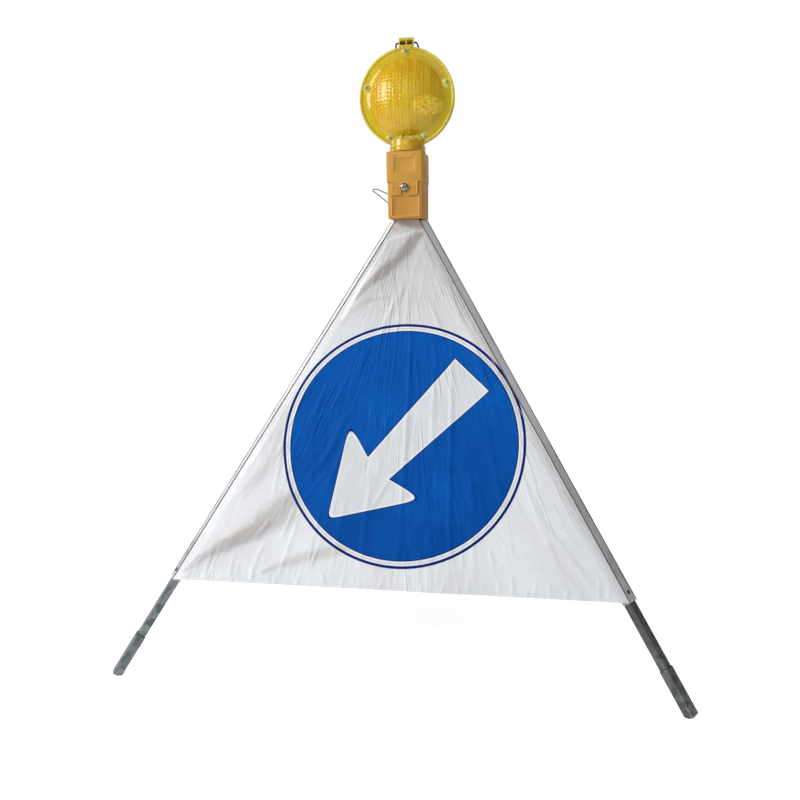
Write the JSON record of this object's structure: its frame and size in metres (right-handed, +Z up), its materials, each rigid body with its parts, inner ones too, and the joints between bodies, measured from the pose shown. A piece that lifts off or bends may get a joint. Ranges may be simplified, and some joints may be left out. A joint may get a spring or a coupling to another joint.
{
  "type": "roll-up warning sign",
  "caption": "Folding tripod road sign with a printed cloth cover on all faces and a battery flashing lamp that swivels on top.",
  "frame": {"origin": "on the ground, under the middle of the open sign's box", "axes": "+Z up, the front face looks along -Y, +X to the right of someone facing it"},
  "size_m": [1.126, 0.9757, 1.2561],
  "materials": {
    "galvanised_steel": "galvanised, dull",
    "dark_steel": "dark, worn",
    "printed_cloth": "coated cloth with a printed sign",
    "case_plastic": "ochre yellow, satin",
    "amber_lens": "amber, clear",
    "clear_yellow": "yellow, clear",
    "grey_screw": "grey, dull",
    "black_wire": "black, satin",
    "seal_rubber": "matte",
    "battery_wrap": "plain",
    "circuit_board": "plain"
  },
  "bodies": {
    "hub_frame": {"hub": "galvanised_steel", "hub_bolt": "grey_screw", "centre_rod": "galvanised_steel", "rod_stop": "dark_steel", "opening_spring": "galvanised_steel", "lamp_bracket": "galvanised_steel", "bracket_screw_1": "grey_screw", "bracket_screw_2": "grey_screw", "battery_case": "case_plastic", "battery": "battery_wrap", "battery_spring_1": "galvanised_steel", "battery_spring_2": "galvanised_steel"},
    "lock_bolt": {"lock_bolt": "grey_screw"},
    "hanging_loop": {"hanging_loop": "galvanised_steel"},
    "lamp_top": {"upper_housing": "case_plastic", "circuit_board": "circuit_board", "light_stalk": "case_plastic", "led": "amber_lens", "swivel_seal": "seal_rubber"},
    "lamp_head": {"lens_front": "amber_lens", "lens_rear": "amber_lens", "lens_collar": "clear_yellow", "lens_screw_1": "grey_screw", "lens_screw_2": "grey_screw", "lens_screw_3": "grey_screw", "lens_screw_4": "grey_screw", "lens_screw_5": "grey_screw"},
    "carrying_bail": {"carrying_bail": "black_wire"},
    "runner": {"runner": "dark_steel"},
    "left_leg": {"leg_left": "galvanised_steel", "foot_sleeve_left": "galvanised_steel", "hub_pin_left": "galvanised_steel", "strut_pin_left": "galvanised_steel", "cover_pocket_left": "printed_cloth", "cover_screw_left": "dark_steel", "cover_front_left": "printed_cloth", "cover_left_front": "printed_cloth"},
    "left_strut": {"strut_left": "galvanised_steel", "runner_pin_left": "galvanised_steel"},
    "right_leg": {"leg_right": "galvanised_steel", "foot_sleeve_right": "galvanised_steel", "hub_pin_right": "galvanised_steel", "strut_pin_right": "galvanised_steel", "cover_pocket_right": "printed_cloth", "cover_screw_right": "dark_steel", "cover_front_right": "printed_cloth", "cover_right_front": "printed_cloth"},
    "right_strut": {"strut_right": "galvanised_steel", "runner_pin_right": "galvanised_steel"},
    "rear_leg": {"leg_rear": "galvanised_steel", "foot_sleeve_rear": "galvanised_steel", "hub_pin_rear": "galvanised_steel", "strut_pin_rear": "galvanised_steel", "cover_pocket_rear": "printed_cloth", "cover_screw_rear": "dark_steel", "cover_right_rear": "printed_cloth", "cover_left_rear": "printed_cloth"},
    "rear_strut": {"strut_rear": "galvanised_steel", "runner_pin_rear": "galvanised_steel"}
  },
  "joints": [
    {"name": "left_leg_fold", "type": "hinge", "parent": "hub_frame", "child": "left_leg", "pos_m": [-0.03464, -0.18156, 0.87211], "axis": [0.5, -0.866, 0], "range_deg": [0, 31], "deforming": ["cover_front_left", "cover_left_front"]},
    {"name": "right_leg_fold", "type": "hinge", "parent": "hub_frame", "child": "right_leg", "pos_m": [0.03464, -0.18156, 0.87211], "axis": [0.5, 0.866, 0], "range_deg": [0, 31], "deforming": ["cover_front_right", "cover_right_front"]},
    {"name": "rear_leg_fold", "type": "hinge", "parent": "hub_frame", "child": "rear_leg", "pos_m": [0, -0.12156, 0.87211], "axis": [-1, 0, 0], "range_deg": [0, 31], "deforming": ["cover_right_rear", "cover_left_rear"]},
    {"name": "left_strut_turn", "type": "hinge", "parent": "left_leg", "child": "left_strut", "pos_m": [-0.12271, -0.23241, 0.72359], "axis": [0.5, -0.866, 0], "range_deg": [-62.5, 0.5]},
    {"name": "right_strut_turn", "type": "hinge", "parent": "right_leg", "child": "right_strut", "pos_m": [0.12271, -0.23241, 0.72359], "axis": [0.5, 0.866, 0], "range_deg": [-62.5, 0.5]},
    {"name": "rear_strut_turn", "type": "hinge", "parent": "rear_leg", "child": "rear_strut", "pos_m": [0, -0.01986, 0.72359], "axis": [-1, 0, 0], "range_deg": [-62.5, 0.5]},
    {"name": "runner_slide", "type": "slide", "parent": "hub_frame", "child": "runner", "axis": [0, 0, -1], "range_m": [0, 0.0628], "deforming": ["opening_spring"]},
    {"name": "lamp_top_lift", "type": "slide", "parent": "hub_frame", "child": "lamp_top", "axis": [0, 0, 1], "range_m": [0, 0.11]},
    {"name": "lamp_head_swivel", "type": "hinge", "parent": "lamp_top", "child": "lamp_head", "pos_m": [0, -0.17596, 1.02861], "axis": [0, 0, 1], "range_deg": [-90, 90]},
    {"name": "carrying_bail_swing", "type": "hinge", "parent": "lamp_head", "child": "carrying_bail", "pos_m": [0, -0.17211, 1.24641], "axis": [1, 0, 0], "range_deg": [0, 230]},
    {"name": "hanging_loop_swing", "type": "hinge", "parent": "hub_frame", "child": "hanging_loop", "pos_m": [-0.0187, -0.13326, 0.91401], "axis": [0, 0, -1], "range_deg": [0, 120]},
    {"name": "lock_bolt_turn", "type": "hinge", "parent": "hub_frame", "child": "lock_bolt", "pos_m": [0, -0.21776, 0.95681], "axis": [0, -1, 0], "range_deg": [0, 360]}
  ],
  "couplings": [
    {"joint": "right_leg_fold", "follows": "left_leg_fold", "ratio": 1},
    {"joint": "rear_leg_fold", "follows": "left_leg_fold", "ratio": 1},
    {"joint": "left_strut_turn", "follows": "left_leg_fold", "ratio": -2},
    {"joint": "right_strut_turn", "follows": "left_leg_fold", "ratio": -2},
    {"joint": "rear_strut_turn", "follows": "left_leg_fold", "ratio": -2},
    {"joint": "runner_slide", "follows": "left_leg_fold", "m_per_rad": 0.11519}
  ]
}
